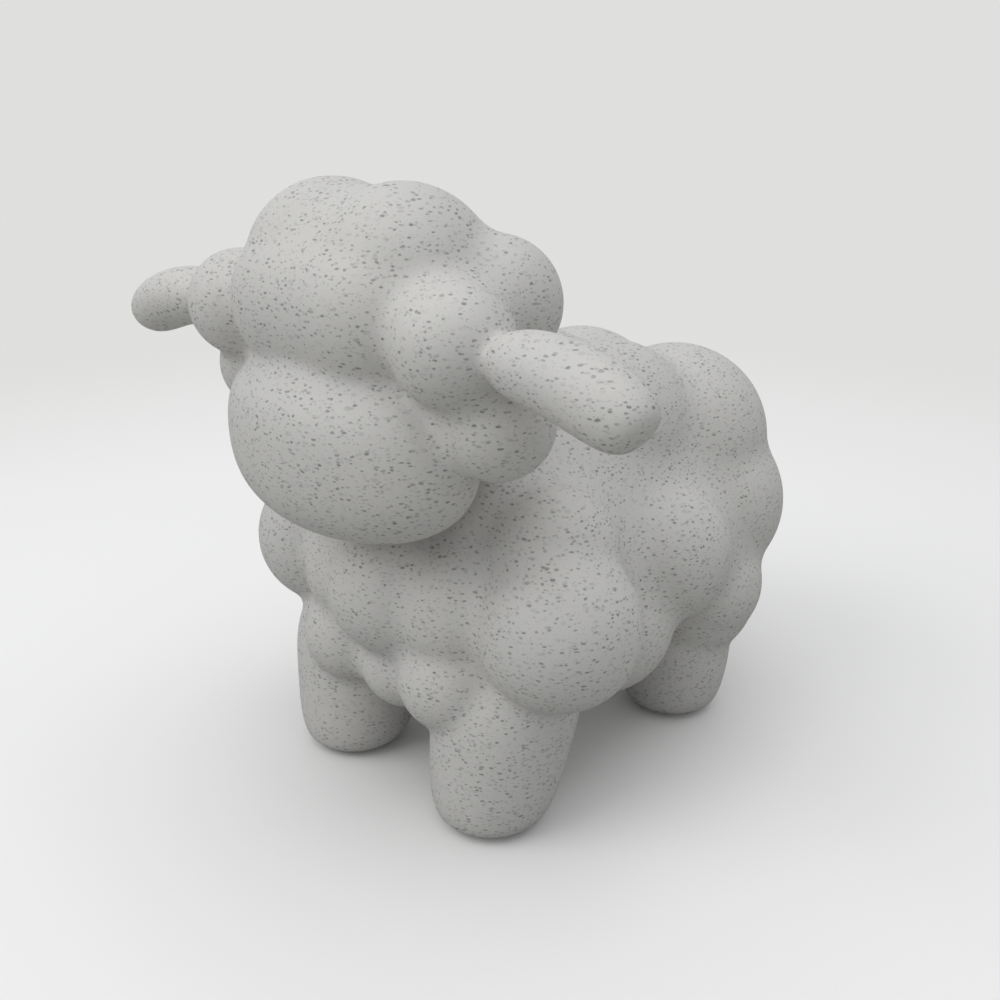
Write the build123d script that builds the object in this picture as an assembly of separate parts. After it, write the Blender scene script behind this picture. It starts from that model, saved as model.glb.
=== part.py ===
from build123d import *
from collections import namedtuple
from math import cos, radians, sin
import os

# A chubby sheep ornament in speckled stone-effect plastic. Two hollow wool shells, the body and the head,
# carry a smooth face, two ears, four legs and a tail on round pegs, and a plug closes the body underneath.
# Millimetres. The sheep faces -Y, +X is its own left side, and it stands on Z = 0.

# Walls and fits
WALL = 2.4               # wool shells
SEAT_GAP = 0.12          # between the curved faces of a piece and of the shell that it seats on
PEG_CLEARANCE = 0.15     # round a peg in its socket
PEG_END_GAP = 0.6        # beyond the end of a peg
PEG_ROOT = 8.0           # length of a peg inside the piece that carries it
BOSS_WALL = 2.0          # round a socket and at its end

# Body core, a round-ended cylinder lying along Y
BODY_RADIUS = 29.5
BODY_HALF_LENGTH = 40.0
BODY_CENTRE_Y = 9.0
BELLY_HEIGHT = 15.5      # from the ground to the body core

# Head core, a round-ended cylinder lying along X
HEAD_HALF_WIDTH = 25.0
HEAD_RADIUS = 19.5
HEAD_FORWARD = 1.0       # from the front of the body core to the middle of the head
HEAD_SINK = 4.0          # how far the head core reaches down past the top of the body core

# Wool puffs: radius, then place across, along and up as shares of the core's reach. Those off the middle
# plane come in pairs.
BODY_PUFF_RADII = {
    "chest": 13.4,
    "shoulder": 14.8,
    "neck": 16.5,
    "collar": 12.0,
    "blade": 13.0,
    "breast": 12.0,
    "brisket": 10.4,
    "bib": 9.4,
    "flank": 14.5,
    "belly": 15.0,
    "withers": 17.0,
    "loin": 20.0,
    "rump": 19.2,
    "thigh": 14.0,
}
BODY_PUFF_SHARES = {
    "chest": (0.0, -1.03, -0.05),
    "shoulder": (1.075, -0.82, -0.10),
    "neck": (0.0, -0.575, 0.61),
    "collar": (0.47, -0.675, 0.37),
    "blade": (0.82, -0.68, 0.24),
    "breast": (0.54, -0.88, -0.08),
    "brisket": (0.47, -1.05, -0.56),
    "bib": (0.0, -0.99, -0.62),
    "flank": (0.90, 0.10, -0.05),
    "belly": (0.61, -0.25, -0.54),
    "withers": (0.34, 0.19, 0.71),
    "loin": (0.44, 0.675, 0.49),
    "rump": (0.63, 0.70, 0.035),
    "thigh": (0.85, 0.525, -0.475),
}
HEAD_PUFF_RADII = {
    "crown": 15.3,
    "topknot": 14.4,
    "temple": 10.0,
    "mane": 11.0,
    "cheek": 9.7,
    "poll": 10.5,
    "nape": 11.0,
}
HEAD_PUFF_SHARES = {
    "crown": (0.345, -0.22, 0.545),
    "topknot": (0.0, -0.22, 0.545),
    "temple": (1.02, -0.535, 0.20),
    "mane": (0.80, 0.24, 0.37),
    "cheek": (1.18, -0.36, -0.44),
    "poll": (0.30, 0.52, 0.36),
    "nape": (0.40, 0.60, -0.10),
}

# Forelock, a roll of wool across the brow, placed from the middle of the head
FORELOCK_HALF_WIDTH = 23.5
FORELOCK_RADIUS = 13.8
FORELOCK_FORWARD = 9.0
FORELOCK_RISE = 6.4

# Neck spigot on the body, on the line from the neck puff to the middle of the head
NECK_PEG_RADIUS = 7.0
NECK_PEG_DEPTH = 9.0
NECK_PEG_TIP = 12.0      # from the middle of the head to the end of the spigot

# Face, oval in plan and a superellipse from the front, placed from the middle of the head
MUZZLE_HALF_WIDTH = 26.5
MUZZLE_HALF_DEPTH = 16.5
MUZZLE_HALF_HEIGHT = 17.0
MUZZLE_SQUARENESS = 2.5  # exponent of the superellipse, 2 being a plain ellipse
MUZZLE_STATIONS = (-84, -70, -52, -34, -16, 0, 16, 34, 52, 70, 84)    # degrees round the superellipse
MUZZLE_FORWARD = 10.0
MUZZLE_DROP = 15.5
FACE_PEG_RADIUS = 2.5
FACE_PEG_DEPTH = 7.0
FACE_PEG_SPACING = 20.0
FACE_PEG_INSET = 2.0     # from the middle of the face back to the ends of its pegs
FACE_PEG_RISE = 4.5

# Ears, placed from the middle of the temple puffs
EAR_LENGTH = 28.6
EAR_WIDTH = 12.0
EAR_THICKNESS = 10.4
EAR_ROOT_LIFT = 6.0      # degrees above level at the root
EAR_TIP_DROOP = 32.0     # degrees below level at the tip
EAR_OUT = 8.1
EAR_FORWARD = 0.4
EAR_DROP = 0.7
# Shares of the length, width and thickness at each section from root to tip
EAR_SECTION_SHARES = (
    (0.0, 0.30, 0.30),
    (0.04, 0.54, 0.54),
    (0.1, 0.72, 0.72),
    (0.2, 0.86, 0.86),
    (0.33, 0.95, 0.95),
    (0.48, 0.99, 0.99),
    (0.63, 1.0, 1.0),
    (0.77, 0.97, 0.97),
    (0.88, 0.88, 0.88),
    (0.95, 0.74, 0.74),
    (1.0, 0.48, 0.48),
)
EAR_PEG_RADIUS = 2.5
EAR_PEG_DEPTH = 8.0
EAR_PEG_INSET = 9.0      # from the ear's root to the end of its peg

# Legs: height above the sole and radius of each section
FRONT_LEG = ((0.0, 8.5), (2.5, 11.2), (8.0, 12.5), (16.0, 13.4), (24.0, 14.2), (30.0, 13.0), (36.0, 8.0))
REAR_LEG = ((0.0, 8.0), (2.5, 10.6), (8.0, 11.8), (16.0, 12.5), (24.0, 12.0), (30.0, 8.0))
FRONT_FOOT_X = 19.8
FRONT_FOOT_INSET = 2.2   # from the front of the body core
FRONT_LEAN_X = 1.0
FRONT_LEAN_Y = 6.0
REAR_FOOT_X = 21.0
REAR_FOOT_INSET = 20.0   # from the back of the body core
REAR_LEAN_X = 1.0
REAR_LEAN_Y = -1.0
LEG_PEG_RADIUS = 4.0
LEG_PEG_DEPTH = 9.0
FRONT_PEG_TOP = 39.0
REAR_PEG_TOP = 29.0

# Tail, a hanging pair of puffs, placed from the back and the middle height of the body core
TAIL_RADIUS = 8.0
TAIL_BEHIND = 1.0
TAIL_RISE = 7.0
TAIL_TIP_RADIUS = 6.2
TAIL_TIP_BEHIND = 2.3
TAIL_TIP_DROP = 8.5
TAIL_PEG_RADIUS = 3.5
TAIL_PEG_DEPTH = 8.0
TAIL_PEG_INSET = 10.0    # from the middle of the tail to the end of its peg

# Belly plug, pushed up into a round seat in the lowest part of the body core
PLUG_RADIUS = 8.0
PLUG_THICKNESS = 1.6
PLUG_RECESS = 2.4        # depth of the seat above the lowest point of the body core
PLUG_SHANK_RADIUS = 5.0
PLUG_SHANK_LENGTH = 6.0
PLUG_LIP = 0.4           # how far the shank's end stands out behind the seat

# Where things meet
BODY_CENTRE_Z = BELLY_HEIGHT + BODY_RADIUS
BODY_TOP_Z = BODY_CENTRE_Z + BODY_RADIUS
BODY_FRONT_Y = BODY_CENTRE_Y - BODY_HALF_LENGTH
BODY_BACK_Y = BODY_CENTRE_Y + BODY_HALF_LENGTH
HEAD_CENTRE_Y = BODY_FRONT_Y - HEAD_FORWARD
HEAD_CENTRE_Z = BODY_TOP_Z - HEAD_SINK + HEAD_RADIUS
MUZZLE_CENTRE_Y = HEAD_CENTRE_Y - MUZZLE_FORWARD
MUZZLE_CENTRE_Z = HEAD_CENTRE_Z - MUZZLE_DROP
FRONT_FOOT_Y = BODY_FRONT_Y + FRONT_FOOT_INSET
REAR_FOOT_Y = BODY_BACK_Y - REAR_FOOT_INSET
TAIL_Y = BODY_BACK_Y + TAIL_BEHIND
TAIL_Z = BODY_CENTRE_Z + TAIL_RISE
PLUG_SEAT_Z = BELLY_HEIGHT + PLUG_RECESS

SIDES = {"left": 1, "right": -1}

Fleece = namedtuple("Fleece", "centre reach radii shares rolls")
Roll = namedtuple("Roll", "centre half_width radius")
Peg = namedtuple("Peg", "tip direction radius depth")

BODY = Fleece(
    Vector(0, BODY_CENTRE_Y, BODY_CENTRE_Z),
    Vector(BODY_RADIUS, BODY_HALF_LENGTH, BODY_RADIUS),
    BODY_PUFF_RADII,
    BODY_PUFF_SHARES,
    [],
)
HEAD = Fleece(
    Vector(0, HEAD_CENTRE_Y, HEAD_CENTRE_Z),
    Vector(HEAD_HALF_WIDTH, HEAD_RADIUS, HEAD_RADIUS),
    HEAD_PUFF_RADII,
    HEAD_PUFF_SHARES,
    [
        Roll(
            Vector(0, HEAD_CENTRE_Y - FORELOCK_FORWARD, HEAD_CENTRE_Z + FORELOCK_RISE),
            FORELOCK_HALF_WIDTH,
            FORELOCK_RADIUS,
        )
    ],
)


def puff_centre(fleece, name, side=1):
    """Where a puff sits on its core."""
    across, along, up = fleece.shares[name]
    reach = fleece.reach
    return fleece.centre + Vector(side * across * reach.X, along * reach.Y, up * reach.Z)


def capsule(half_length, radius):
    """A round-ended cylinder lying along X."""
    straight = half_length - radius
    ends = [CenterArc((straight, 0), radius, 0, 90), CenterArc((-straight, 0), radius, 90, 90)]
    sides = [Line(ends[0] @ 1, ends[1] @ 0), Line(ends[1] @ 1, ends[0] @ 0)]
    return revolve(Plane.XZ * make_face(ends + sides), Axis.X)


def wool(fleece, grow=0.0):
    """A wool form as one solid, its core with all its rolls and puffs, grown or shrunk evenly."""
    reach = fleece.reach
    lies_along_y = reach.Y > reach.X
    core = capsule(max(reach.X, reach.Y) + grow, reach.Z + grow)
    core = Pos(fleece.centre) * Rot(0, 0, 90 if lies_along_y else 0) * core
    puffs = [Pos(roll.centre) * capsule(roll.half_width + grow, roll.radius + grow) for roll in fleece.rolls]
    for name, radius in fleece.radii.items():
        for side in SIDES.values() if fleece.shares[name][0] else (0,):
            centre = puff_centre(fleece, name, side)
            pole_out = Plane(centre, z_dir=centre - fleece.centre)
            puffs.append(pole_out * Sphere(radius + grow))
    return core.fuse(*puffs)


def rod(peg, radius, beyond=0.0):
    """A cylinder along a peg's axis, from the peg's root to a little beyond its tip."""
    length = PEG_ROOT + peg.depth + beyond
    return Plane(peg.tip, z_dir=peg.direction) * Pos(0, 0, beyond - length / 2) * Cylinder(radius, length)


def peg_solid(peg):
    return rod(peg, peg.radius)


def socket(peg):
    return rod(peg, peg.radius + PEG_CLEARANCE, PEG_END_GAP)


def boss(peg):
    return rod(peg, peg.radius + PEG_CLEARANCE + BOSS_WALL, PEG_END_GAP + BOSS_WALL)


def shell(fleece, pegs, solid_places=()):
    """A hollow wool shell with a blind socket for each peg, left solid in the given places."""
    hollow = max(wool(fleece, -WALL).solids(), key=lambda solid: solid.volume)
    hollow -= [boss(peg) for peg in pegs] + list(solid_places)
    return wool(fleece) - hollow - [socket(peg) for peg in pegs]


def neck_peg():
    axis = (HEAD.centre - puff_centre(BODY, "neck")).normalized()
    return Peg(HEAD.centre - axis * NECK_PEG_TIP, axis, NECK_PEG_RADIUS, NECK_PEG_DEPTH)


def face_pegs():
    pegs = []
    for side in SIDES.values():
        across = side * FACE_PEG_SPACING / 2
        tip = Vector(across, MUZZLE_CENTRE_Y + FACE_PEG_INSET, MUZZLE_CENTRE_Z + FACE_PEG_RISE)
        pegs.append(Peg(tip, Vector(0, 1, 0), FACE_PEG_RADIUS, FACE_PEG_DEPTH))
    return pegs


def ear_root(side):
    return puff_centre(HEAD, "temple", side) + Vector(side * EAR_OUT, -EAR_FORWARD, -EAR_DROP)


def ear_plane(side, station):
    """Across an ear at a share of its length, along an arc that leaves the head level and droops."""
    start = radians(-EAR_ROOT_LIFT)
    bend = radians(EAR_ROOT_LIFT + EAR_TIP_DROOP)
    droop = start + bend * station
    out = EAR_LENGTH / bend * (sin(droop) - sin(start))
    rise = EAR_LENGTH / bend * (cos(droop) - cos(start))
    middle = ear_root(side) + Vector(side * out, 0, rise)
    return Plane(middle, x_dir=(0, 1, 0), z_dir=(side * cos(droop), 0, -sin(droop)))


def ear_peg(side):
    inward = ear_plane(side, 0).z_dir * -1
    return Peg(ear_root(side) + inward * EAR_PEG_INSET, inward, EAR_PEG_RADIUS, EAR_PEG_DEPTH)


def leg_peg(foot_x, foot_y, lean_x, lean_y, top, side):
    tip = Vector(side * (foot_x + lean_x), foot_y + lean_y, top)
    return Peg(tip, Vector(0, 0, 1), LEG_PEG_RADIUS, LEG_PEG_DEPTH)


def front_leg_peg(side):
    return leg_peg(FRONT_FOOT_X, FRONT_FOOT_Y, FRONT_LEAN_X, FRONT_LEAN_Y, FRONT_PEG_TOP, side)


def rear_leg_peg(side):
    return leg_peg(REAR_FOOT_X, REAR_FOOT_Y, REAR_LEAN_X, REAR_LEAN_Y, REAR_PEG_TOP, side)


def tail_peg():
    return Peg(Vector(0, TAIL_Y - TAIL_PEG_INSET, TAIL_Z), Vector(0, -1, 0), TAIL_PEG_RADIUS, TAIL_PEG_DEPTH)


def body_fleece():
    seat = Pos(0, BODY_CENTRE_Y, PLUG_SEAT_Z)
    flange_radius = PLUG_RADIUS + PEG_CLEARANCE
    hangs_down = Align.CENTER, Align.CENTER, Align.MAX
    pad = Cylinder(flange_radius + BOSS_WALL, 2 * BOSS_WALL + PLUG_RECESS, align=hangs_down)
    pad = seat * Pos(0, 0, BOSS_WALL) * pad
    pegs = [leg(side) for leg in (front_leg_peg, rear_leg_peg) for side in SIDES.values()] + [tail_peg()]
    solid = shell(BODY, pegs, [pad]) + peg_solid(neck_peg())
    solid -= seat * Cylinder(flange_radius, 2 * PLUG_RECESS, align=hangs_down)
    return solid - seat * Cylinder(PLUG_SHANK_RADIUS + PEG_CLEARANCE, 4 * BOSS_WALL)


def head_fleece(body_seat):
    pegs = [neck_peg()] + face_pegs() + [ear_peg(side) for side in SIDES.values()]
    return shell(HEAD, pegs) - body_seat


def muzzle():
    power = 2 / MUZZLE_SQUARENESS
    rings = []
    for angle in MUZZLE_STATIONS:
        rise = sin(radians(angle))
        level = MUZZLE_HALF_HEIGHT * abs(rise) ** power * (1 if rise > 0 else -1)
        share = cos(radians(angle)) ** power
        ring = Ellipse(MUZZLE_HALF_WIDTH * share, MUZZLE_HALF_DEPTH * share)
        rings.append(Pos(0, MUZZLE_CENTRE_Y, MUZZLE_CENTRE_Z + level) * ring)
    return loft(rings)


def face(body_seat, head_seat):
    return muzzle() - head_seat - body_seat + [peg_solid(peg) for peg in face_pegs()]


def ear(side, head_seat):
    sections = []
    for station, width, thickness in EAR_SECTION_SHARES:
        section = Ellipse(EAR_WIDTH / 2 * width, EAR_THICKNESS / 2 * thickness)
        sections.append(ear_plane(side, station) * section)
    return loft(sections) - head_seat + peg_solid(ear_peg(side))


def leg(sections, foot_x, foot_y, lean_x, lean_y, peg, side, body_seat):
    height = sections[-1][0]
    rings = []
    for level, radius in sections:
        share = level / height
        rings.append(Pos(side * (foot_x + lean_x * share), foot_y + lean_y * share, level) * Circle(radius))
    return loft(rings) - body_seat + peg_solid(peg)


def tail(body_seat):
    tip = Pos(0, TAIL_Y + TAIL_TIP_BEHIND, TAIL_Z - TAIL_TIP_DROP) * Sphere(TAIL_TIP_RADIUS)
    return Pos(0, TAIL_Y, TAIL_Z) * Sphere(TAIL_RADIUS) + tip - body_seat + peg_solid(tail_peg())


def belly_plug():
    lip_z = BOSS_WALL + PEG_CLEARANCE
    profile = Polyline(
        (0, -PLUG_THICKNESS),
        (PLUG_RADIUS, -PLUG_THICKNESS),
        (PLUG_RADIUS, 0),
        (PLUG_SHANK_RADIUS, 0),
        (PLUG_SHANK_RADIUS, lip_z),
        (PLUG_SHANK_RADIUS + PLUG_LIP, lip_z),
        (PLUG_SHANK_RADIUS - PLUG_LIP, PLUG_SHANK_LENGTH),
        (0, PLUG_SHANK_LENGTH),
        close=True,
    )
    solid = revolve(make_face(Plane.XZ * profile), Axis.Z)
    return Pos(0, BODY_CENTRE_Y, PLUG_SEAT_Z) * solid


def build():
    body_seat = wool(BODY, SEAT_GAP)
    head_seat = wool(HEAD, SEAT_GAP)
    pieces = {
        "body_fleece": body_fleece(),
        "head_fleece": head_fleece(body_seat),
        "face": face(body_seat, head_seat),
        "tail": tail(body_seat),
        "belly_plug": belly_plug(),
    }
    for name, side in SIDES.items():
        front = FRONT_LEG, FRONT_FOOT_X, FRONT_FOOT_Y, FRONT_LEAN_X, FRONT_LEAN_Y, front_leg_peg(side)
        rear = REAR_LEG, REAR_FOOT_X, REAR_FOOT_Y, REAR_LEAN_X, REAR_LEAN_Y, rear_leg_peg(side)
        pieces[f"{name}_ear"] = ear(side, head_seat)
        pieces[f"front_{name}_leg"] = leg(*front, side, body_seat)
        pieces[f"rear_{name}_leg"] = leg(*rear, side, body_seat)
    return pieces


os.makedirs("parts", exist_ok=True)
for node, piece in build().items():
    export_step(piece, f"parts/{node}.step")
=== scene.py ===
from collections import namedtuple
from math import cos, hypot, pi, radians, sin

import bmesh
import bpy
import numpy as np
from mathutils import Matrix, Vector
from mathutils.bvhtree import BVHTree


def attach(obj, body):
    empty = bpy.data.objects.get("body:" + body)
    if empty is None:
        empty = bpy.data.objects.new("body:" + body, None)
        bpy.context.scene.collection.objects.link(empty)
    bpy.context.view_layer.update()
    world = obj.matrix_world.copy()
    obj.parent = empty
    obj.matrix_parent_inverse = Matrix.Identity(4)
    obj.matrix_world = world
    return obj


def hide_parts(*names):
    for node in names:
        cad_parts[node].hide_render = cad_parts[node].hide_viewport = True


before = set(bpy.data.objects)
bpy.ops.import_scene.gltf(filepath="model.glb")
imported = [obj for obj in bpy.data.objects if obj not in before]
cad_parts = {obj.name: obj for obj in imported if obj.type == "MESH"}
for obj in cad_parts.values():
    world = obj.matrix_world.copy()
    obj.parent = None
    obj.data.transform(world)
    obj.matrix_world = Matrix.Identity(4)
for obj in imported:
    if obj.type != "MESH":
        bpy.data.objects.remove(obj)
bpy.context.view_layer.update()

# A chubby sheep ornament in speckled stone-effect plastic. It faces -Y, its own left is +X and it stands on
# Z = 0. Sizes of the sheep are in millimetres, and MM turns them into metres.
MM = 0.001

# Moulding of the skins
FILL_VOXEL = 1.2          # grain of the forms that fill and round the creases
FILL_PASSES = (280, 50)   # smoothing that makes the filling, coarse and then finer
HEAD_FILL = (0.3, 0.3)    # how far up a crease faces where filling starts, at the front and at the rear
BODY_FILL = (0.3, -0.9)
FILL_SPAN = 0.45          # how much further up it faces where the filling is full
FILL_PLACES = (-27, -13)  # along Y, where the front ends and where the rear begins
FILL_CLEAR = 3            # grains kept open beside an overhang
FILL_EDGE_PASSES = 6      # smoothing of the edge between filled and open creases
ROUND_PASSES = 6          # smoothing that rounds the creases left between forms
SKIN_VOXEL = 0.65         # grain of the finished skins
SKIN_PASSES = 9           # smoothing of the finished skins
SMOOTH_SHARE = 0.5        # how far towards its neighbours one pass moves a point
WALL = 2.4                # depth of the shells behind their seams
SEAM_REACH = 8.0          # furthest that a skin lies from the form it came from
SEAM_PASSES = 12          # smoothing of the seams between pieces

# Fineness of the round forms
BALL_FINENESS = 5
ROUND_SEGMENTS = 96
RING_POINTS = 64
ON_MIDDLE = 1e-6          # metres from a form's middle plane within which a point lies on it

# Body core, a round-ended cylinder lying along Y
BODY_CENTRE = Vector((0, 9, 45))
BODY_REACH = Vector((29.5, 40, 29.5))
# Head core, a round-ended cylinder lying along X
HEAD_CENTRE = Vector((0, -32, 90))
HEAD_REACH = Vector((25, 19.5, 19.5))
# Wool puffs: place across, along and up as shares of the core's reach, then radius. Those off the middle
# plane come in pairs.
BODY_PUFFS = {
    "chest": (0.0, -1.03, -0.06, 13.6),
    "shoulder": (1.075, -0.82, -0.10, 14.8),
    "neck": (0.0, -0.575, 0.61, 16.5),
    "collar": (0.47, -0.675, 0.37, 12.0),
    "blade": (0.82, -0.68, 0.24, 13.0),
    "breast": (0.42, -0.95, -0.09, 12.6),
    "brisket": (0.47, -1.03, -0.55, 10.2),
    "bib": (0.0, -0.99, -0.62, 9.4),
    "flank": (0.90, 0.10, -0.05, 14.5),
    "belly": (0.61, -0.25, -0.54, 15.0),
    "paunch": (0.74, -0.22, -0.45, 15.0),
    "withers": (0.34, 0.19, 0.71, 17.0),
    "loin": (0.44, 0.675, 0.49, 20.0),
    "rump": (0.63, 0.70, 0.035, 19.2),
    "thigh": (0.85, 0.525, -0.475, 14.0),
    "ham": (0.80, 0.525, -0.59, 14.0),
}
HEAD_PUFFS = {
    "crown": (0.345, -0.22, 0.545, 15.3),
    "topknot": (0.0, -0.22, 0.545, 14.4),
    "temple": (1.08, -0.58, 0.19, 9.6),
    "mane": (0.80, 0.24, 0.37, 11.0),
    "cheek": (1.18, -0.25, -0.44, 9.3),
    "poll": (0.30, 0.52, 0.36, 10.5),
    "nape": (0.40, 0.60, -0.10, 11.0),
}
# Forelock, a roll of wool across the brow
FORELOCK = Vector((0, -41, 96.4))
FORELOCK_HALF_WIDTH = 22.6
FORELOCK_RADIUS = 13.8

# Face, oval in plan and a superellipse from the front
MUZZLE_CENTRE = Vector((0, -42, 74.5))
MUZZLE_HALF = Vector((27.2, 16.5, 17.0))
MUZZLE_TOP = 15.5
MUZZLE_SQUARENESS = 2.5
# Degrees round the superellipse at each section
MUZZLE_STATIONS = (-84, -76, -66, -54, -42, -30, -18, -6, 6, 18, 30, 42, 54, 66, 76, 84)

# Ears, placed from the middle of the temple puffs, along an arc that leaves the head a little upwards and
# then droops
EAR_OFFSET = Vector((8.1, 0.4, -0.7))
EAR_LENGTH = 27.2
EAR_WIDTH = 12.8
EAR_THICKNESS = 11.3
EAR_ROOT_DROOP = radians(-6)
EAR_TIP_DROOP = radians(32)
# Shares of the length and girth at each section from root to tip
EAR_SECTIONS = (
    (0.0, 0.36),
    (0.04, 0.62),
    (0.1, 0.79),
    (0.2, 0.91),
    (0.33, 0.97),
    (0.48, 0.99),
    (0.63, 1.0),
    (0.77, 0.97),
    (0.88, 0.88),
    (0.95, 0.74),
    (1.0, 0.48),
)

# Legs: height above the sole and radius of each section, then where the foot stands and how the leg leans
FRONT_LEG = ((0.0, 8.5), (2.5, 11.2), (8.0, 12.5), (16.0, 13.4), (24.0, 14.2), (30.0, 13.0), (36.0, 8.0))
FRONT_FOOT = Vector((19.8, -28.8, 0))
FRONT_LEAN = Vector((1, 6, 0))
REAR_LEG = ((0.0, 8.0), (2.5, 10.6), (8.0, 11.8), (16.0, 12.5), (24.0, 12.0), (30.0, 8.0))
REAR_FOOT = Vector((21, 29, 0))
REAR_LEAN = Vector((1, -1, 0))

# Tail, a hanging pair of puffs
TAIL_PUFFS = ((Vector((0, 50, 52)), 8.0), (Vector((0, 52.3, 43.5)), 6.2))

# Belly plug and its seat
PLUG_SEAT = Vector((0, 9, 17.9))
PLUG_RADIUS = 8.0
PLUG_THICKNESS = 1.6
PLUG_CLEARANCE = 0.15
SEAT_RADIUS = PLUG_RADIUS + PLUG_CLEARANCE
PLUG_RIM = 1.3
PLUG_DISH = 0.5
PLUG_SHANK_RADIUS = 5.0
PLUG_SHANK_LENGTH = 6.0
PLUG_TAPER = 0.9          # share of the shank's width that is left at its end
PLUG_ROUNDING = 0.3       # of its edges
ROUNDING_STEPS = 3
SHARP = radians(40)       # turn at an edge above which it is rounded
SQUARE_ON = 0.9           # how squarely a face points up or down to count as level

SIDES = {"left": 1, "right": -1}

# Stone-effect plastic
STONE_PALE = (0.615, 0.602, 0.578, 1)
STONE_COOL = (0.57, 0.563, 0.55, 1)
WOOL_ROUGHNESS = 0.48
SMOOTH_ROUGHNESS = 0.44
STONE_CLOUDS = 22.0       # size of the clouds of paler and cooler grey
STONE_CLOUD_ROUGHNESS = 0.06
STONE_GRAIN = 0.5
STONE_GRAIN_HEIGHT = 0.25
STONE_GRAIN_ROUGHNESS = 0.14
STONE_RIPPLE = 5.0
STONE_RELIEF = 0.12       # depth of the fine surface
STONE_RELIEF_STRENGTH = 0.25
# Chips in the plastic: spacing, least and greatest radius, least and greatest darkness, the share of places
# that hold one, the softness of the edge and the colour
Chips = namedtuple("Chips", "spacing radii darkness share softness colour")
CHIPS = {
    "deep": Chips(1.9, (0.3, 0.62), (0.08, 0.24), 0.8, 0.25, (0.16, 0.16, 0.165, 1)),
    "fine": Chips(0.62, (0.07, 0.17), (0.14, 0.36), 0.6, 0.08, (0.06, 0.06, 0.064, 1)),
    "bold": Chips(1.05, (0.16, 0.42), (0.18, 0.62), 0.85, 0.12, (0.05, 0.05, 0.054, 1)),
}
CHIP_FLATNESS = 1.9       # how many times wider than high chips lie
CHIP_WOBBLE = 0.7         # how far their outlines stray
CHIP_WOBBLE_SIZE = 0.8
CHIP_SINK = 0.3           # share of the relief by which bold chips lie lower
CHIP_GLOSS = 0.08         # how much less rough they are
MIDDLE_CLOUD = (0.5, 0.5, 0.5)

# Soft plastic of the plug
PLUG_PALE = (0.5, 0.49, 0.47, 1)
PLUG_DUSTY = (0.43, 0.42, 0.4, 1)
PLUG_ROUGHNESS = 0.55
PLUG_BLOOM = 4.0          # size of the dusty patches
PLUG_BLOOM_ROUGHNESS = 0.15
PLUG_GRAIN = 0.3
PLUG_RELIEF = 0.08
PLUG_RELIEF_STRENGTH = 0.2
SCUFF_COLOUR = (0.7, 0.69, 0.67, 1)
SCUFF_STRENGTH = 0.15
SCUFF_HEIGHT = 0.5
SCUFF_ROUGHNESS = 0.1
SCUFF_LENGTH = 2.5
SCUFF_SLIMNESS = 12.0     # how many times longer than wide scuffs are
SCUFF_TURN = 0.6          # radians about Z
SCUFF_EDGE = (0.55, 0.7)  # cloudiness at which a scuff begins and is full

# Studio, in metres and watts
BACKDROP = (0.74, 0.74, 0.73, 1)
PAPER = (0.88, 0.88, 0.87, 1)       # as the camera sees it
DULL_PAPER = (0.35, 0.35, 0.34, 1)  # as it lights the sheep from below
PAPER_ROUGHNESS = 0.9
FLOOR_SIZE = 12
FLOOR_FADE = (0.12, 0.45)  # reach at which the floor starts to fade into the backdrop, and is gone
SKY = (0.8, 0.81, 0.82, 1)
SKY_STRENGTH = 0.76
LIT_POINT = Vector((0, 0, 0.06))
# Softboxes: place, side length and power
SOFTBOXES = {
    "overhead_softbox": (Vector((0.15, 0.0, 1.5)), 1.4, 6.3),
    "front_softbox": (Vector((-0.45, -1.0, 0.9)), 1.0, 5.6),
}

# Camera, to the front left of the sheep and above it, in millimetres
CAMERA_PLACE = Vector((135.6, -148.8, 127.4))
CAMERA_TILT = radians(69.18)
CAMERA_TURN = radians(43.3)
CAMERA_SENSOR = 36
CAMERA_LENS = 37.8
CAMERA_NEAREST = 10


# Modelling helpers


def begin(piece=None):
    """Object mode with nothing selected, or only one piece."""
    if bpy.context.mode != "OBJECT":
        bpy.ops.object.mode_set(mode="OBJECT")
    bpy.ops.object.select_all(action="DESELECT")
    if piece:
        piece.select_set(True)
        bpy.context.view_layer.objects.active = piece


def settle(piece):
    """Puts a piece's place into its mesh."""
    begin(piece)
    bpy.ops.object.transform_apply(location=True, rotation=True, scale=True)
    return piece


def copied(piece):
    """A copy of a piece with its own mesh."""
    twin = piece.copy()
    twin.data = piece.data.copy()
    bpy.context.scene.collection.objects.link(twin)
    return twin


def joined(name, pieces):
    """Several pieces as one, under a new name."""
    begin(pieces[0])
    for piece in pieces:
        piece.select_set(True)
    bpy.ops.object.join()
    pieces[0].name = name
    return pieces[0]


def modified(piece, kind, **settings):
    """Adds a modifier to a piece and applies it."""
    begin(piece)
    modifier = piece.modifiers.new(kind.lower(), kind)
    for key, value in settings.items():
        setattr(modifier, key, value)
    bpy.ops.object.modifier_apply(modifier=modifier.name)
    return piece


def remeshed(piece, grain):
    """Runs the forms of a piece into one even mesh."""
    return modified(piece, "REMESH", mode="VOXEL", voxel_size=grain * MM)


def softened(piece, passes, **settings):
    """Smooths a piece's shape."""
    return modified(piece, "SMOOTH", factor=SMOOTH_SHARE, iterations=passes, **settings)


def pick(kind, wanted):
    """Selects the points, edges or faces of the mesh in edit mode that pass a test."""
    bpy.ops.mesh.select_mode(type={"verts": "VERT", "edges": "EDGE", "faces": "FACE"}[kind])
    bpy.ops.mesh.select_all(action="DESELECT")
    mesh = bmesh.from_edit_mesh(bpy.context.object.data)
    for element in getattr(mesh, kind):
        if wanted(element):
            element.select_set(True)
    mesh.select_flush_mode()
    bmesh.update_edit_mesh(bpy.context.object.data)


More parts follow.
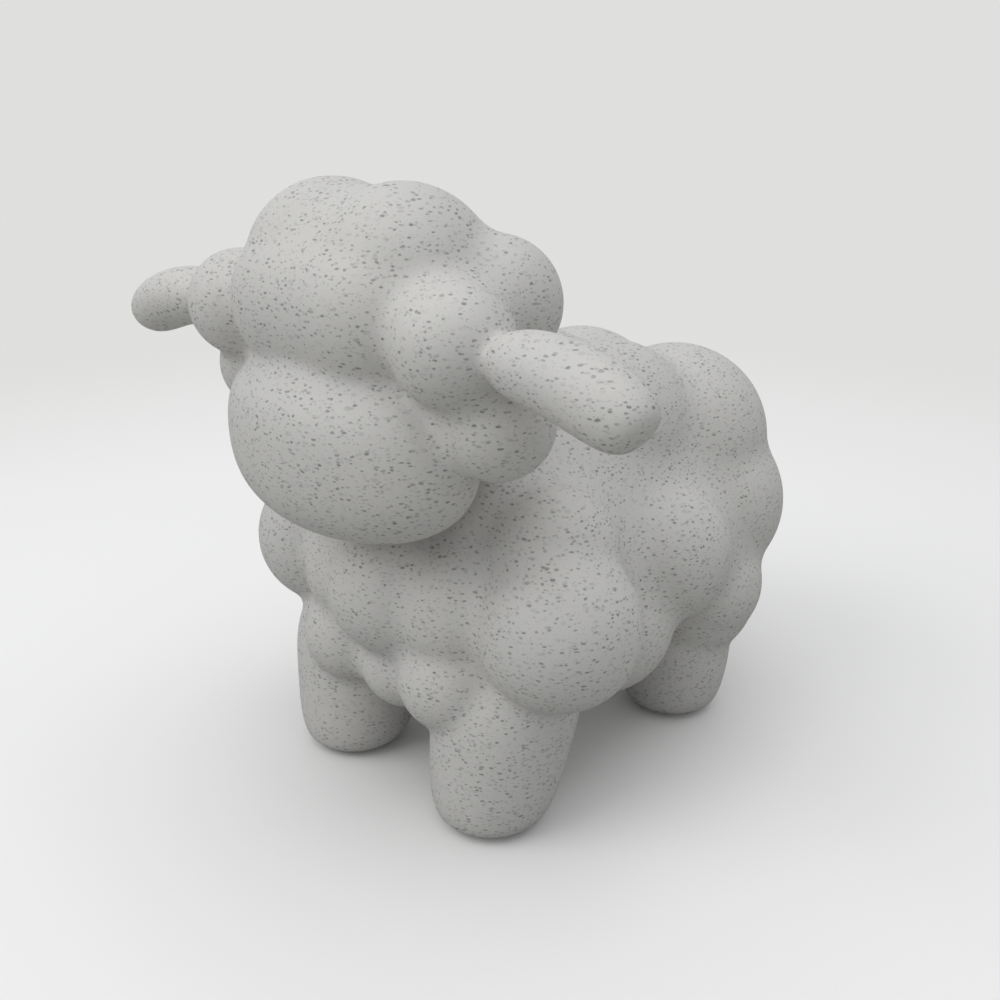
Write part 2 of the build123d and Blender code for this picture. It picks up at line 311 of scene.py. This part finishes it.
def read(collection, key, width=1, kind=float):
    """One property of all of a mesh's elements, as an array."""
    values = np.empty(len(collection) * width, dtype=kind)
    collection.foreach_get(key, values)
    return values.reshape(-1, width) if width > 1 else values


def smoothed(piece, values, passes):
    """Values at a piece's points, run into those of their neighbours."""
    ends = read(piece.data.edges, "vertices", 2, int)
    first, second = ends.T
    count = len(values)
    degree = np.bincount(ends.ravel(), minlength=count)
    for _ in range(passes):
        total = np.bincount(first, values[second], count) + np.bincount(second, values[first], count)
        values = (values + total / degree) / 2
    return values


# Forms


def ball(centre, radius):
    """A round puff."""
    begin()
    bpy.ops.mesh.primitive_ico_sphere_add(
        subdivisions=BALL_FINENESS, radius=radius * MM, location=centre * MM
    )
    return settle(bpy.context.object)


def roll(centre, half_length, radius, along):
    """A round-ended roll of wool."""
    begin()
    bpy.ops.mesh.primitive_uv_sphere_add(
        segments=ROUND_SEGMENTS, ring_count=ROUND_SEGMENTS // 2, radius=radius * MM
    )
    bpy.ops.object.mode_set(mode="EDIT")
    for end in (1, -1):
        pick("verts", lambda point: point.co.dot(along) * end > ON_MIDDLE)
        bpy.ops.transform.translate(value=along * (end * (half_length - radius) * MM))
    begin()
    bpy.context.object.location = centre * MM
    return settle(bpy.context.object)


def lofted(rings, smoothness=2):
    """A round form drawn ring by ring. A ring has its centre, half width, half depth and turn about Y."""
    begin()
    start, half_width, half_depth, turn = rings[0]
    bpy.ops.mesh.primitive_circle_add(
        vertices=RING_POINTS, radius=MM, fill_type="NGON", location=start * MM
    )
    settle(bpy.context.object)
    bpy.ops.object.mode_set(mode="EDIT")
    bpy.ops.mesh.select_all(action="SELECT")
    bpy.ops.transform.resize(value=(half_width, half_depth, 1), center_override=start * MM)
    bpy.ops.transform.rotate(value=-turn, orient_axis="Y", center_override=start * MM)
    for centre, width, depth, angle in rings[1:]:
        bpy.ops.mesh.extrude_region_move(TRANSFORM_OT_translate={"value": (centre - start) * MM})
        growth = width / half_width, depth / half_depth, width / half_width if angle else 1
        bpy.ops.transform.resize(value=growth, center_override=centre * MM)
        if angle != turn:
            bpy.ops.transform.rotate(value=turn - angle, orient_axis="Y", center_override=centre * MM)
        start, half_width, half_depth, turn = centre, width, depth, angle
    bpy.ops.mesh.select_all(action="SELECT")
    bpy.ops.mesh.normals_make_consistent(inside=False)
    begin()
    return modified(bpy.context.object, "SUBSURF", levels=smoothness, render_levels=smoothness)


def puff_centre(centre, reach, puff, side):
    """Where a puff sits on its core."""
    across, along, up, _ = puff
    return centre + Vector((side * across * reach.x, along * reach.y, up * reach.z))


def puffs(centre, reach, table):
    """The round puffs of a wool form, those off the middle plane in pairs."""
    made = []
    for puff in table.values():
        across, *_, radius = puff
        for side in SIDES.values() if across else (0,):
            made.append(ball(puff_centre(centre, reach, puff, side), radius))
    return made


def body_form():
    """The wool of the body."""
    core = roll(BODY_CENTRE, BODY_REACH.y, BODY_REACH.z, Vector((0, 1, 0)))
    return joined("body_form", [core] + puffs(BODY_CENTRE, BODY_REACH, BODY_PUFFS))


def head_form():
    """The wool of the head."""
    across = Vector((1, 0, 0))
    core = roll(HEAD_CENTRE, HEAD_REACH.x, HEAD_REACH.z, across)
    forelock = roll(FORELOCK, FORELOCK_HALF_WIDTH, FORELOCK_RADIUS, across)
    return joined("head_form", [core, forelock] + puffs(HEAD_CENTRE, HEAD_REACH, HEAD_PUFFS))


def muzzle_form():
    """The smooth face, in level rings from the chin to the brow."""
    power = 2 / MUZZLE_SQUARENESS
    rings = []
    for angle in MUZZLE_STATIONS:
        rise = sin(radians(angle))
        level = abs(rise) ** power * (MUZZLE_TOP if rise > 0 else -MUZZLE_HALF.z)
        share = cos(radians(angle)) ** power
        centre = MUZZLE_CENTRE + Vector((0, 0, level))
        rings.append((centre, MUZZLE_HALF.x * share, MUZZLE_HALF.y * share, 0))
    return lofted(rings, smoothness=1)


def ear_form(side):
    """An ear on an arc, its rings turned square to it."""
    temple = puff_centre(HEAD_CENTRE, HEAD_REACH, HEAD_PUFFS["temple"], side)
    root = temple + EAR_OFFSET * Vector((side, 1, 1))
    bend = EAR_TIP_DROOP - EAR_ROOT_DROOP
    rings = []
    for station, girth in EAR_SECTIONS:
        droop = EAR_ROOT_DROOP + bend * station
        out = EAR_LENGTH / bend * (sin(droop) - sin(EAR_ROOT_DROOP))
        rise = EAR_LENGTH / bend * (cos(droop) - cos(EAR_ROOT_DROOP))
        centre = root + Vector((side * out, 0, rise))
        turn = side * (pi / 2 + droop)
        rings.append((centre, EAR_THICKNESS / 2 * girth, EAR_WIDTH / 2 * girth, turn))
    return lofted(rings)


def leg_form(sections, foot, lean, side):
    """A stubby leg, from its sole up."""
    height = sections[-1][0]
    mirror = Vector((side, 1, 1))
    rings = []
    for level, radius in sections:
        place = (foot + lean * (level / height)) * mirror + Vector((0, 0, level))
        rings.append((place, radius, radius, 0))
    return lofted(rings)


def tail_form():
    """The wool of the tail."""
    return joined("tail_form", [ball(centre, radius) for centre, radius in TAIL_PUFFS])


# Moulding


def filled_share(piece, front, rear):
    """How far each crease is filled, from 0 under overhangs to 1 where it faces up."""
    along = read(piece.data.vertices, "co", 3)[:, 1] / MM
    start = np.interp(along, FILL_PLACES, (front, rear))
    share = np.clip((read(piece.data.vertices, "normal", 3)[:, 2] - start) / FILL_SPAN, 0, 1)
    first, second = read(piece.data.edges, "vertices", 2, int).T
    for _ in range(FILL_CLEAR):
        least = share.copy()
        np.minimum.at(least, first, share[second])
        np.minimum.at(least, second, share[first])
        share = least
    return smoothed(piece, share, FILL_EDGE_PASSES)


def filled(piece, fill, passes):
    """Smooths a wool form where its creases are to be filled."""
    group = piece.vertex_groups.new(name="filled")
    for index, share in enumerate(filled_share(piece, *fill)):
        group.add([index], share, "REPLACE")
    softened(piece, passes, vertex_group=group.name)
    piece.vertex_groups.clear()
    return piece


def filling(wool, fill):
    """A heavily smoothed twin of a wool form, which stands proud of it only in its creases."""
    coarse, fine = FILL_PASSES
    twin = remeshed(copied(wool), FILL_VOXEL)
    twin = remeshed(joined("filling", [twin, filled(copied(twin), fill, coarse)]), FILL_VOXEL)
    return filled(twin, fill, fine)


def moulded_skin(name, wool, fill, grown, planted):
    """The skin of a wool form with filled creases, with forms that grow out of it and forms set on it."""
    skin = joined(name, [copied(wool), filling(wool, fill)] + [copied(form) for form in grown])
    rounding = softened(remeshed(copied(skin), FILL_VOXEL), ROUND_PASSES)
    remeshed(joined(name, [skin, rounding] + [copied(form) for form in planted]), SKIN_VOXEL)
    softened(skin, SKIN_PASSES)
    bpy.ops.object.shade_smooth()
    shading = skin.data.attributes.new("shading", "FLOAT_VECTOR", "POINT")
    shading.data.foreach_set("vector", read(skin.data.vertices, "normal", 3).ravel())
    return skin


def in_seat(place):
    """Whether a place, in metres, is in the seat of the belly plug."""
    reach = hypot(place[0], place[1] - PLUG_SEAT.y * MM)
    return reach < SEAT_RADIUS * MM and place[2] < PLUG_SEAT.z * MM


def parted(skin, forms):
    """A skin cut into one shell for each form, every face going to the form that it lies nearest to."""
    depsgraph = bpy.context.evaluated_depsgraph_get()
    corners = read(skin.data.loops, "vertex_index", kind=int)
    sizes = read(skin.data.polygons, "loop_total", kind=int)
    faces = np.repeat(np.arange(len(sizes)), sizes)
    reach = SEAM_REACH * MM
    gaps = []
    for form in forms.values():
        tree = BVHTree.FromObject(form, depsgraph)
        nearest = [tree.find_nearest(point.co, reach)[3] for point in skin.data.vertices]
        gap = np.array([reach if distance is None else distance for distance in nearest])
        gaps.append(np.bincount(faces, smoothed(skin, gap, SEAM_PASSES)[corners]))
    owners = np.argmin(gaps, axis=0)
    shells = {}
    for index, name in enumerate(forms):
        shell = copied(skin)
        shell.name = name
        begin(shell)
        bpy.ops.object.mode_set(mode="EDIT")
        pick("faces", lambda face: owners[face.index] != index or in_seat(face.calc_center_median()))
        bpy.ops.mesh.delete(type="FACE")
        begin()
        shells[name] = shell
    return shells


def closed(shell):
    """Closes a shell behind its seams, and keeps the whole skin's shading on its outside."""
    outside = len(shell.data.polygons)
    begin(shell)
    bpy.ops.object.mode_set(mode="EDIT")
    pick("edges", lambda edge: edge.is_boundary)
    bpy.ops.mesh.extrude_region_move()
    mesh = bmesh.from_edit_mesh(shell.data)
    shading = mesh.verts.layers.float_vector["shading"]
    middle = PLUG_SEAT * MM
    rim = SEAT_RADIUS * MM
    for point in mesh.verts:
        out = Vector((point.co.x, point.co.y - middle.y))
        seat = out.length < rim + SKIN_VOXEL * MM and point.co.z < middle.z
        if seat and (point.select or any(link.other_vert(point).select for link in point.link_edges)):
            point.co.xy = middle.xy + out.normalized() * rim
        if point.select and seat:
            point.co.z = middle.z
        elif point.select:
            point.co -= point[shading] * WALL * MM
    bmesh.update_edit_mesh(shell.data)
    bpy.ops.mesh.select_all(action="SELECT")
    bpy.ops.mesh.fill_holes(sides=0)
    begin()
    mesh = shell.data
    mesh.update()
    shading = read(mesh.attributes["shading"].data, "vector", 3)
    shading = shading[read(mesh.loops, "vertex_index", kind=int)]
    for face in mesh.polygons[outside:]:
        for corner in face.loop_indices:
            shading[corner] = face.normal
    mesh.attributes.remove(mesh.attributes["shading"])
    mesh.normals_split_custom_set(shading)
    return shell


def plug():
    """A push-in plug, a dished cap with a rounded edge on a tapered shank."""
    begin()
    middle = PLUG_SEAT - Vector((0, 0, PLUG_THICKNESS / 2))
    bpy.ops.mesh.primitive_cylinder_add(
        vertices=ROUND_SEGMENTS, radius=PLUG_RADIUS * MM, depth=PLUG_THICKNESS * MM, location=middle * MM
    )
    settle(bpy.context.object)
    bpy.ops.object.mode_set(mode="EDIT")
    pick("faces", lambda face: face.normal.z < -SQUARE_ON)
    bpy.ops.mesh.inset(thickness=PLUG_RIM * MM)
    bpy.ops.mesh.inset(thickness=PLUG_DISH * MM, depth=-PLUG_DISH * MM)
    pick("faces", lambda face: face.normal.z > SQUARE_ON and len(face.verts) == ROUND_SEGMENTS)
    bpy.ops.mesh.inset(thickness=(PLUG_RADIUS - PLUG_SHANK_RADIUS) * MM)
    bpy.ops.mesh.extrude_region_move(TRANSFORM_OT_translate={"value": (0, 0, PLUG_SHANK_LENGTH * MM)})
    bpy.ops.transform.resize(value=(PLUG_TAPER, PLUG_TAPER, 1), center_override=PLUG_SEAT * MM)
    begin()
    cap = bpy.context.object
    cap.name = "belly_plug_cap"
    modified(
        cap,
        "BEVEL",
        width=PLUG_ROUNDING * MM,
        segments=ROUNDING_STEPS,
        limit_method="ANGLE",
        angle_limit=SHARP,
    )
    bpy.ops.object.shade_smooth_by_angle(angle=SHARP)
    return cap


# Finish


class Value:
    """A shader socket that takes part in plain arithmetic."""

    def __init__(self, finish, socket):
        self.finish = finish
        self.socket = socket

    def other(self, output):
        """Another output of the same node."""
        return Value(self.finish, self.socket.node.outputs[output])

    def maths(self, operation, first, second):
        return self.finish.add("Math", {"operation": operation}, {0: first, 1: second})

    def __add__(self, other):
        return self.maths("ADD", self, other)

    def __radd__(self, other):
        return self.maths("ADD", other, self)

    def __sub__(self, other):
        return self.maths("SUBTRACT", self, other)

    def __rsub__(self, other):
        return self.maths("SUBTRACT", other, self)

    def __mul__(self, other):
        return self.maths("MULTIPLY", self, other)

    def __rmul__(self, other):
        return self.maths("MULTIPLY", other, self)

    def __lt__(self, other):
        return self.maths("LESS_THAN", self, other)


class Finish:
    """The nodes of a material or of the world."""

    def __init__(self, owner):
        owner.use_nodes = True
        self.nodes = owner.node_tree.nodes
        self.links = owner.node_tree.links
        self.nodes.clear()

    def add(self, kind, settings, inputs, output=0):
        """Adds a node by its type, sets it, feeds its sockets and gives one of its outputs."""
        node = self.nodes.new("ShaderNode" + kind)
        for key, value in settings.items():
            setattr(node, key, value)
        for key, value in inputs.items():
            if isinstance(value, Value):
                self.links.new(value.socket, node.inputs[key])
            else:
                node.inputs[key].default_value = value
        return Value(self, node.outputs[output]) if node.outputs else None

    def mix(self, share, first, second):
        """One colour run into another."""
        return self.add("Mix", {"data_type": "RGBA"}, {0: share, 6: first, 7: second}, 2)

    def step(self, value, low, high):
        """1 below low, 0 above high, with a soft step between."""
        ends = {"Value": value, "From Min": low, "From Max": high, "To Min": 1.0, "To Max": 0.0}
        return self.add("MapRange", {"interpolation_type": "SMOOTHSTEP"}, ends)

    def noise(self, place, size, detail=2.0):
        """Cloudy variation from 0 to 1, its clouds of a size in millimetres."""
        return self.add("TexNoise", {}, {"Vector": place, "Scale": 1 / (size * MM), "Detail": detail})

    def specks(self, place, chips):
        """Chips of random radius and darkness, with only a share of them there."""
        spacing = chips.spacing
        distance = self.add("TexVoronoi", {}, {"Vector": place, "Scale": 1 / (spacing * MM)}, "Distance")
        chance = self.add("SeparateColor", {}, {0: distance.other("Color")})
        small, large = (radius / spacing for radius in chips.radii)
        radius = small + (large - small) * chance.other(1)
        faint, dark = chips.darkness
        strength = faint + (dark - faint) * chance.other(2)
        edge = chips.softness / spacing
        return (chance < chips.share) * strength * self.step(distance, radius - edge, radius + edge)

    def plastic(self, colour, roughness, height, depth, strength):
        """A plastic surface with a fine relief, of a depth in millimetres."""
        relief = {"Strength": strength, "Distance": depth * MM, "Height": height}
        looks = {"Base Color": colour, "Roughness": roughness, "Normal": self.add("Bump", {}, relief)}
        self.add("OutputMaterial", {}, {"Surface": self.add("BsdfPrincipled", {}, looks)})


def stone_plastic(name, roughness):
    """Pale grey plastic filled with dark grey chips, faint ones lying deeper."""
    material = bpy.data.materials.new(name)
    finish = Finish(material)
    place = finish.add("TexCoord", {}, {}, "Object")
    flattened = finish.add("Mapping", {}, {"Vector": place, "Scale": (1.0, 1.0, CHIP_FLATNESS)})
    wobble = finish.noise(place, CHIP_WOBBLE_SIZE, detail=1.0).other("Color")
    wobble = finish.add("VectorMath", {"operation": "SUBTRACT"}, {0: wobble, 1: MIDDLE_CLOUD})
    wobble = finish.add("VectorMath", {"operation": "SCALE"}, {0: wobble, "Scale": CHIP_WOBBLE * MM})
    ragged = finish.add("VectorMath", {"operation": "ADD"}, {0: flattened, 1: wobble})
    masks = {kind: finish.specks(ragged, chips) for kind, chips in CHIPS.items()}
    clouds = finish.noise(place, STONE_CLOUDS)
    ground = finish.mix(clouds, STONE_PALE, STONE_COOL)
    for kind, mask in masks.items():
        ground = finish.mix(mask, ground, CHIPS[kind].colour)
    bold = masks["bold"]
    grain = finish.noise(place, STONE_GRAIN, detail=3.0)
    ripple = finish.noise(place, STONE_RIPPLE)
    height = grain * STONE_GRAIN_HEIGHT + ripple - bold * CHIP_SINK
    roughness = roughness + grain * STONE_GRAIN_ROUGHNESS + clouds * STONE_CLOUD_ROUGHNESS
    roughness = roughness - bold * CHIP_GLOSS
    finish.plastic(ground, roughness, height, STONE_RELIEF, STONE_RELIEF_STRENGTH)
    return material


def soft_plastic(name):
    """Plain soft plastic with a dusty bloom and fine scuffs."""
    material = bpy.data.materials.new(name)
    finish = Finish(material)
    place = finish.add("TexCoord", {}, {}, "Object")
    bloom = finish.noise(place, PLUG_BLOOM, detail=3.0)
    stretch = {"Rotation": (0, 0, SCUFF_TURN), "Scale": (1.0, SCUFF_SLIMNESS, 1.0)}
    stretched = finish.add("Mapping", {}, {"Vector": place} | stretch)
    scuffs = 1 - finish.step(finish.noise(stretched, SCUFF_LENGTH), *SCUFF_EDGE)
    grain = finish.noise(place, PLUG_GRAIN)
    ground = finish.mix(bloom, PLUG_PALE, PLUG_DUSTY)
    ground = finish.mix(scuffs * SCUFF_STRENGTH, ground, SCUFF_COLOUR)
    height = grain + scuffs * SCUFF_HEIGHT
    roughness = PLUG_ROUGHNESS + bloom * PLUG_BLOOM_ROUGHNESS + scuffs * SCUFF_ROUGHNESS
    finish.plastic(ground, roughness, height, PLUG_RELIEF, PLUG_RELIEF_STRENGTH)
    return material


# Pieces

body = body_form()
head = head_form()
muzzle = {"muzzle": muzzle_form()}
limbs = {"tail_wool": tail_form()}
ears = {}
for name, side in SIDES.items():
    ears[f"{name}_ear_shell"] = ear_form(side)
    limbs[f"front_{name}_leg_shell"] = leg_form(FRONT_LEG, FRONT_FOOT, FRONT_LEAN, side)
    limbs[f"rear_{name}_leg_shell"] = leg_form(REAR_LEG, REAR_FOOT, REAR_LEAN, side)

FINISHES = {
    "speckled_wool": stone_plastic("speckled_wool_plastic", WOOL_ROUGHNESS),
    "speckled_smooth": stone_plastic("speckled_smooth_plastic", SMOOTH_ROUGHNESS),
    "plug_plastic": soft_plastic("soft_plug_plastic"),
}


def fit(piece, node, slot):
    """Puts a finished piece in its CAD node's place."""
    piece.data.materials.append(FINISHES[slot])
    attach(piece, "root")
    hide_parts(node)


STANDS_FOR = {"head_wool": "head_fleece", "muzzle": "face", "body_wool": "body_fleece", "tail_wool": "tail"}
for wool_name, wool, fill, grown, planted in (
    ("head_wool", head, HEAD_FILL, muzzle, ears),
    ("body_wool", body, BODY_FILL, limbs, {}),
):
    skin = moulded_skin(f"{wool_name}_skin", wool, fill, grown.values(), planted.values())
    forms = {wool_name: wool} | grown | planted
    for name, shell in parted(skin, forms).items():
        slot = "speckled_wool" if name.endswith("wool") else "speckled_smooth"
        fit(closed(shell), STANDS_FOR.get(name, name.removesuffix("_shell")), slot)
    for form in forms.values():
        bpy.data.objects.remove(form)
    bpy.data.objects.remove(skin)
fit(plug(), "belly_plug", "plug_plastic")

# Studio

begin()
bpy.ops.mesh.primitive_plane_add(size=FLOOR_SIZE)
floor = bpy.context.object
floor.name = "floor"
paper = bpy.data.materials.new("floor_paper")
floor.data.materials.append(paper)
finish = Finish(paper)
place = finish.add("TexCoord", {}, {}, "Object")
reach = finish.add("VectorMath", {"operation": "LENGTH"}, {0: place}, "Value")
seen = finish.add("LightPath", {}, {}, "Is Camera Ray")
faded = seen * (1 - finish.step(reach, *FLOOR_FADE))
colour = finish.mix(seen, DULL_PAPER, PAPER)
near = finish.add("BsdfPrincipled", {}, {"Base Color": colour, "Roughness": PAPER_ROUGHNESS})
far = finish.add("Emission", {}, {"Color": BACKDROP, "Strength": 1.0})
surface = finish.add("MixShader", {}, {0: faded, 1: near, 2: far})
finish.add("OutputMaterial", {}, {"Surface": surface})

for name, (place, size, power) in SOFTBOXES.items():
    begin()
    bpy.ops.object.light_add(type="AREA", location=place)
    lamp = bpy.context.object
    lamp.name = name
    lamp.data.size = size
    lamp.data.energy = power
    lamp.rotation_euler = (LIT_POINT - lamp.location).to_track_quat("-Z", "Y").to_euler()

world = bpy.data.worlds.new("studio")
bpy.context.scene.world = world
finish = Finish(world)
seen = finish.add("LightPath", {}, {}, "Is Camera Ray")
sky = finish.add("Background", {}, {"Color": SKY, "Strength": SKY_STRENGTH})
backdrop = finish.add("Background", {}, {"Color": BACKDROP, "Strength": 1.0})
surroundings = finish.add("MixShader", {}, {0: seen, 1: sky, 2: backdrop})
finish.add("OutputWorld", {}, {"Surface": surroundings})

begin()
bpy.ops.object.camera_add(location=CAMERA_PLACE * MM, rotation=(CAMERA_TILT, 0, CAMERA_TURN))
camera = bpy.context.object
camera.data.sensor_width = CAMERA_SENSOR
camera.data.lens = CAMERA_LENS
camera.data.clip_start = CAMERA_NEAREST * MM
bpy.context.scene.camera = camera

bpy.context.scene.view_settings.view_transform = "Standard"
